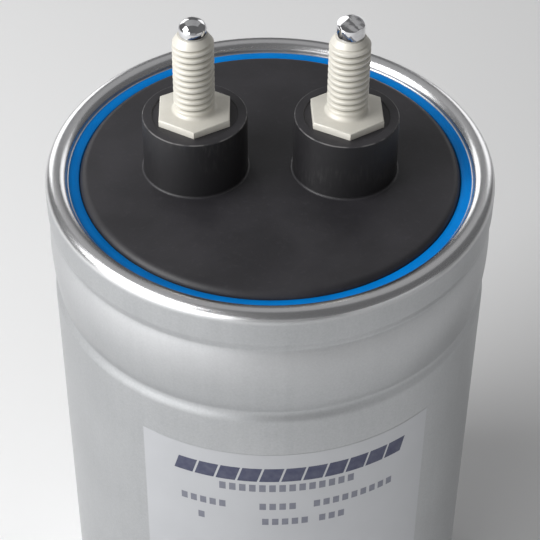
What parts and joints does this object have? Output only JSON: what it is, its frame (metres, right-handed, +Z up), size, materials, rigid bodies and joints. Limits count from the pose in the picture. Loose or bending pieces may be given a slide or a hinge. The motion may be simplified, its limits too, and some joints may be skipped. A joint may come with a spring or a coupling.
{
  "type": "power factor correction capacitor",
  "caption": "Cylindrical film capacitor in a drawn aluminium can with a rolled rim, blue seal ring and black lid carrying raised stud terminals with hexagon collars.",
  "frame": {"origin": "centre of the can's base, on the surface it stands on", "axes": "+Z up along the can's axis towards the terminals; the two terminals lie along X; the label faces -Y"},
  "size_m": [0.0653, 0.0652, 0.1201],
  "materials": {
    "can_aluminium": "satin drawn wall with a polished rolled rim",
    "label_film": "matt silver-grey film",
    "seal_rubber": "smooth blue rubber",
    "lid_plastic": "matt black moulding",
    "stud_tinned": "matt pale tin plating",
    "solder": "bright frozen solder",
    "lead_copper": "plain copper wire",
    "insulator_plastic": "natural polypropylene",
    "sleeve_film": "amber insulating film",
    "contact_metal": "sprayed zinc, rough",
    "winding_film": "wound metallised film"
  },
  "bodies": {
    "root": {"can": "can_aluminium", "label": "label_film", "seal_ring": "seal_rubber", "lid": "lid_plastic", "terminal_stud_left": "stud_tinned", "terminal_stud_right": "stud_tinned", "solder_tip_left": "solder", "solder_tip_right": "solder", "lead_left": "lead_copper", "lead_right": "lead_copper", "top_disc": "insulator_plastic", "insulating_sleeve": "sleeve_film", "contact_layer_top": "contact_metal", "winding": "winding_film", "core_tube": "insulator_plastic", "contact_layer_bottom": "contact_metal", "base_disc": "insulator_plastic"}
  },
  "joints": []
}
